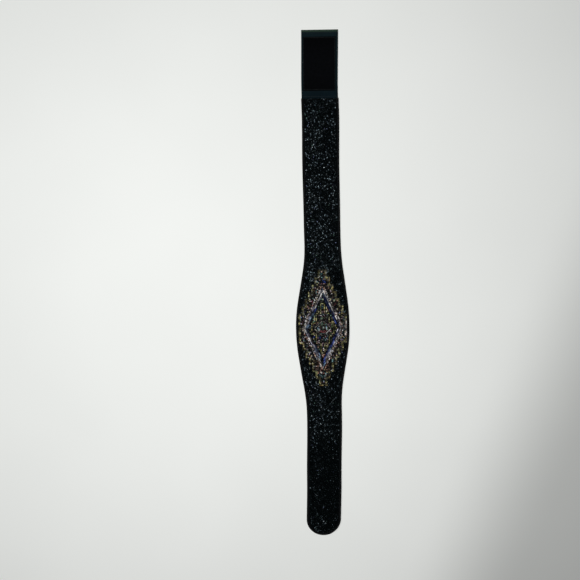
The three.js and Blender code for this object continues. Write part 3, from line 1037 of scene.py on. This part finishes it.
def pearl_strings(sx, sy):
    """Two strings of beads along the outside of one side of the bugle diamond."""
    start_y, least_x = 0.45, 0.8
    places = []
    for outside in PEARL_STRINGS:
        half_width, half_length = moved_diamond(outside)
        end = min(half_length, PEARL_CUT - TIP_ROOM)
        end_x = max(least_x, half_width * (1 - end / half_length))
        end = half_length * (1 - end_x / half_width)
        ends = [(half_width * sx, start_y * sy), (end_x * sx, end * sy)]
        places += line_beads(ends, PEARL_PITCH)
    return places


# Beads in the slits at the bugle diamond's corners: distance out from a row's corner, height, scale
SIDE_BEAD = (0.5, 0.95, 0.7)
TIP_BEADS = ((1.1, 0.9, 0.95), (2.6, 1.0, 0.66))
PEARL_SIDE_BEAD = (0.0, 1.2, 0.62)
PEARL_TIP_BEAD = (-1.6, 0.9, 0.9)


def corner_places():
    """The slits' beads: side, distance of the row's corner, bead, and whether at a tip."""
    for side in (-1, 1):
        for outside in ROW_OFFSETS:
            wide, long = moved_diamond(outside)
            yield side, wide, SIDE_BEAD, False
            for bead in TIP_BEADS:
                yield side, long * (1 - OUTWARD.x * BUGLE_RADIUS / wide), bead, True
        for outside in PEARL_STRINGS:
            yield side, moved_diamond(outside)[0], PEARL_SIDE_BEAD, False
        yield side, PEARL_CUT, PEARL_TIP_BEAD, True


def make_corner_beads():
    rng = random.Random(SEED + 9)
    rows = []
    for side, corner, (out, height, scale), at_tip in corner_places():
        far = side * (corner + out)
        place = (0.0, far + MOTIF_Y) if at_tip else (far, MOTIF_Y)
        angle = math.pi / 2 if at_tip else 0.0
        rows.append((*place, BED + height, angle, 0.0, rng.uniform(0, 1), scale, scale))
    kinds = [rng.choice(("pearl", "pearl", "sky")) for _ in rows]
    glass = Glass("corner_beads", ("pearl", "sky"))
    shine = [lone_glint(0.35, 1.1, rng) for _ in rows]
    template = bead_template(MOTIF_RADIUS)
    bead_piece("corner_beads", template, rows, glass, kinds, shine, rng, "pearl_beads")


# Spots of another colour in a field: middle, reach across and along, and group of colours
SPOTS = (
    (-1.5, 88, 4, 7, "teal"),
    (0.5, -81, 4, 6, "teal"),
    (36.3, 0, 2.6, 19, "teal"),
    (16, -56, 2.6, 3.5, "teal"),
    (1.5, 79, 7.5, 3.5, "navy"),
    (38.5, 1, 1.6, 20, "pearl"),
    (-1.5, 37, 3, 4, "teal"),
    (2.5, -19.5, 3.2, 3, "teal"),
    (2, 70, 9.5, 6.5, "rust"),
    (-7, -66, 6, 10, "rust"),
    (7.5, -66, 5, 8, "rust"),
    (1.6, -47, 3.5, 4.5, "rust"),
    (-16, 45, 2.6, 3.2, "red"),
    (20, 41, 3, 3, "red"),
    (0, -5.5, 5, 2.8, "red"),
    (8.3, -15.5, 3, 3.2, "sky"),
    (-22, 4, 2.5, 5, "sky"),
    (-15.8, -14, 3, 3.4, "navy"),
    (-5.5, -15, 2.6, 3, "navy"),
    (-7, 0, 1.3, 3.6, "sky"),
    (6.6, 2.5, 1.3, 4.2, "sky"),
)


def group_at(x, y, field, groups, rng):
    """The group of colours that a bead of a field belongs to."""
    for middle_x, middle_y, reach_x, reach_y, group in SPOTS:
        distance = math.hypot((x - middle_x) / reach_x, (y - middle_y) / reach_y)
        if group in groups and distance < 1:
            return group
    if field == "iris":
        # Pearl beads stray into the iris field, further in two of its quarters
        beyond = side_offset(x, y, DIAMOND_WIDTH, DIAMOND_LENGTH) - PEARL_OUTSIDE
        reach = 5.0 if x * y < 0 and abs(y) > 14 else 2.0
        if rng.random() < 0.6 * math.exp(-max(0.0, beyond) / reach):
            return "pearl"
    return field


def sort_cells():
    """The chart: which bead lies in each cell that no line, bugle or string takes."""
    regions = {field: [] for field in FIELDS}
    for sx, sy in QUARTERS.values():
        regions["inner gold"] += line_beads(inner_line_path(sx, sy), INNER_LINE_PITCH)
        regions["pearl"] += pearl_strings(sx, sy)
    taken = np.array([(x, y) for x, y, _ in regions["inner gold"]])
    for x, y in grid_cells():
        if not in_steps(x, y, CELL_X, CELL_Y):
            continue
        offset = side_offset(x, y, DIAMOND_WIDTH, DIAMOND_LENGTH)
        silver = side_offset(x, y, SILVER_WIDTH, SILVER_LENGTH)
        if not in_steps(x, y, -CELL_X, -CELL_Y):
            field = "gold"
        elif offset > PEARL_OUTSIDE + PEARL_ROOM or abs(y) > PEARL_CUT + TIP_ROOM:
            field = "iris"
        elif offset > -BAND_EDGE - BAND_ROOM or abs(silver) < SILVER_RADIUS + SILVER_SIDE_ROOM:
            continue
        elif np.hypot(taken[:, 0] - x, taken[:, 1] - y).min() < LINE_ROOM:
            continue
        elif silver < 0:
            field = "core"
        else:
            field = "plum" if in_inner_steps(x, y) else "olive"
        regions[field].append((x, y, math.pi / 2))
    return regions


# The motif's fields: slot, node, groups of colours, the beads' wobble, the middle of their lustre
# and painted glint, and its spread
FIELDS = {
    "gold": ("gold_beads", "gold_steps_outer", ("gold", "pearl"), 0.06, 0.145, 1.5),
    "inner gold": ("gold_beads", "gold_steps_inner", ("inner gold",), 0.06, 0.27, 1.3),
    "iris": (
        "iris_beads", "iris_bead_field", ("iris", "pearl", "teal", "rust", "red", "navy"),
        0.25, 0.0125, 3.5,
    ),
    "pearl": ("pearl_beads", "pearl_bead_ring", ("pearl", "rust"), 0.25, 0.19, 3.0),
    "olive": (
        "olive_beads", "olive_bead_field", ("olive", "teal", "rust", "sky", "navy"), 0.2, 0.12, 2.9,
    ),
    "plum": ("plum_beads", "plum_bead_field", ("plum", "teal", "sky", "navy"), 0.2, 0.038, 3.1),
    "core": ("core_beads", "core_bead_field", ("core", "red", "sky"), 0.2, 0.2, 2.4),
}


def make_fields():
    rng = random.Random(SEED + 5)
    template = bead_template(MOTIF_RADIUS)
    for field, chosen in sort_cells().items():
        slot, node, groups, wobble, middle, spread = FIELDS[field]
        glass = Glass(node, groups, metallic=0.4 if "gold" in field else 0.3)
        kinds = [group_at(x, y, field, groups, rng) for x, y, _ in chosen]
        grain = GOLD_GRAIN if "gold" in field else FIELD_GRAIN
        shine = []
        for (x, y, _), kind in zip(chosen, kinds):
            lift = 1.0 if kind == field else SPOT_LIFT
            shine.append(glint_at(x, y, grain, lift * middle, spread, rng))
        rows = bead_rows(chosen, wobble, rng)
        bead_piece(f"{node}_beads", template, rows, glass, kinds, shine, rng, slot, node)


def bugle_places(half_width, half_length, outside, radius, length, rng):
    """Tube beads along a diamond's sides: quarter, number from the side corner, placement row."""
    found = []
    outward = Vector((half_length, half_width)).normalized()
    wide = half_width + outside / outward.x
    long = half_length + outside / outward.y
    start_y = CLEARANCE / 2 + outward.y * radius
    end_x = CLEARANCE / 2 + outward.x * radius
    start = Vector((wide * (1 - start_y / long), start_y))
    end = Vector((end_x, long * (1 - end_x / wide)))
    run = (end - start).length
    count = round(run / length)
    scale = run / count / length
    for quarter, (sx, sy) in QUARTERS.items():
        angle = math.atan2((end.y - start.y) * sy, (end.x - start.x) * sx)
        for i in range(count):
            middle = start.lerp(end, (i + 0.5) / count)
            height = BED + radius + rng.uniform(0.0, 0.12)
            place = (middle.x * sx, middle.y * sy + MOTIF_Y, height)
            turn, tilt = angle + rng.gauss(0, 0.02), rng.gauss(0, 0.012)
            row = (*place, turn, tilt, rng.uniform(0, 1), 0.96 * scale, 1.0)
            found.append((quarter, i, row))
    return found


def bugle_template(length, radius):
    """A tube bead with rounded rims and sunk ends."""
    half = length / 2 - 0.12
    profile = [(half - 0.35, 0.4), (half, 0.62), (half - 0.14, 1.0)]
    return turned([(-x, share) for x, share in profile] + profile[::-1], 10, radius)


# The kinds of bugle: group of colours, and middle of its lustre and painted glint; A is the small
# diamond's
BUGLES = {
    "D": ("deep", 0.06),
    "N": ("deep", 0.55),
    "C": ("cobalt", 0.75),
    "S": ("azure", 0.45),
    "G": ("smoke", 0.2),
    "L": ("lavender", 0.38),
    "W": ("white", 0.55),
    "A": ("silver", 0.38),
}

PALE_KINDS = "GLW"

# Kinds by quarter for the inner, middle and outer row, each from the side corner to the tip
BUGLE_CHART = {
    "upper_right": ("DCCDNNNNN", "NNNNDNNNS", "LGWGWWLLW"),
    "upper_left": ("SDNSCDDLS", "SLSSNWLWW", "WGLDLGGDG"),
    "lower_left": ("NDDDNNSDD", "SGGGLSGSD", "WLWLGLLWG"),
    "lower_right": ("LNCNCCCCC", "NNNCCSLLC", "WLGLGLLGS"),
}


def make_bugle_piece(name, slot, template, placed, nodes, rng):
    """One piece from pairs of a bugle's kind and its placement row."""
    kinds = [BUGLES[kind][0] for kind, _ in placed]
    shine = [lone_glint(BUGLES[kind][1], 0.6, rng) for kind, _ in placed]
    glass = Glass(name, sorted(set(kinds)))
    rows = [row for _, row in placed]
    bead_piece(name, template, rows, glass, kinds, shine, rng, slot, *nodes)


def make_bugles():
    rng = random.Random(SEED + 3)
    blue, pale = [], []
    diamond = (DIAMOND_WIDTH, DIAMOND_LENGTH)
    for row, outside in enumerate(ROW_OFFSETS):
        found = bugle_places(*diamond, outside, BUGLE_RADIUS, BUGLE_LENGTH, rng)
        for quarter, i, place in found:
            kind = BUGLE_CHART[quarter][row][i]
            (pale if kind in PALE_KINDS else blue).append((kind, place))
    ends = [f"bugle_row_{quarter}_{row}" for quarter in QUARTERS for row in (1, 3)]
    middles = [f"bugle_row_{quarter}_2" for quarter in QUARTERS]
    template = bugle_template(BUGLE_LENGTH, BUGLE_RADIUS)
    make_bugle_piece("blue_bugles", "cobalt_bugles", template, blue, ends, rng)
    make_bugle_piece("pale_bugles", "lavender_bugles", template, pale, middles, rng)
    diamond = (SILVER_WIDTH, SILVER_LENGTH)
    found = bugle_places(*diamond, 0.0, SILVER_RADIUS, SILVER_BUGLE_LENGTH, rng)
    silver = [("A", row) for _, _, row in found]
    sides = [f"silver_row_{quarter}" for quarter in QUARTERS]
    template = bugle_template(SILVER_BUGLE_LENGTH, SILVER_RADIUS)
    make_bugle_piece("silver_bugles", "silver_bugles", template, silver, sides, rng)


# The floor and the lights


def make_floor():
    """A white surface, dimmer towards its near right corner as in the photo."""
    half = 3000.0
    corners = [(-half, -half, 0), (half, -half, 0), (half, half, 0), (-half, half, 0)]
    shader = Shader("paper", Roughness=0.9, Specular_IOR_Level=0.1)
    tone = shader.ramp(shader.noise(3.0), [(0.3, srgb("eff1ee")), (0.7, srgb("f3f5f2"))])
    # Painted shadow: the paper's colour dims towards its near right corner
    place = shader.node("SeparateXYZ", Vector=shader.places()).outputs
    steepness = 2.6
    slant = shader.maths("SUBTRACT", shader.maths("MULTIPLY", place["X"], steepness), place["Y"])
    limits = {"From_Min": 0.84, "From_Max": 1.44, "To_Min": 1.0, "To_Max": 0.64}
    smooth = {"interpolation_type": "SMOOTHSTEP"}
    shade = shader.node("MapRange", smooth, Value=slant, **limits).outputs["Result"]
    shader.colour(shader.mixed(1.0, tone, shade, "MULTIPLY"))
    floor = new_object("floor", corners, [[(0, 1, 2, 3)]], shader.material, smooth=False)


def make_lights():
    place, target = Vector((-0.2, 0.05, 1.45)), Vector((-0.33, 0.11, 0))
    data = bpy.data.lights.new("key", "AREA")
    data.shape = "DISK"
    data.size = 0.5
    data.energy = 17.9
    key = add_object("key", data)
    key.location = place
    key.rotation_euler = (target - place).to_track_quat("-Z", "Y").to_euler()
    data = bpy.data.lights.new("sun", "SUN")
    data.energy = 0.6
    data.angle = math.radians(25)
    add_object("sun", data).rotation_euler = (math.radians(-28), math.radians(-30), 0)
    world = bpy.data.worlds.new("world")
    world.use_nodes = True
    background = world.node_tree.nodes["Background"]
    background.inputs["Color"].default_value = (0.95, 0.98, 1.0, 1)
    background.inputs["Strength"].default_value = 0.02
    bpy.context.scene.world = world
    bpy.context.scene.view_settings.view_transform = "Standard"


make_camera()
make_fabric(fabric_material())
make_binding(binding_material())
make_binding_stitches(thread_material("binding_thread", "1b2024"))
make_tab_stitches(thread_material("tab_thread", "141d1f"))
make_loop_patch(pile_material("loop_ground", "040506", "0a0b0e"))
make_loop_pile(pile_material("loop_pile", "050608", "0d0e12"))
make_hook_patch(pile_material("hook_plastic", "07080a", "101216"))
make_black_beads()
make_fields()
make_corner_beads()
make_bugles()
make_floor()
make_lights()
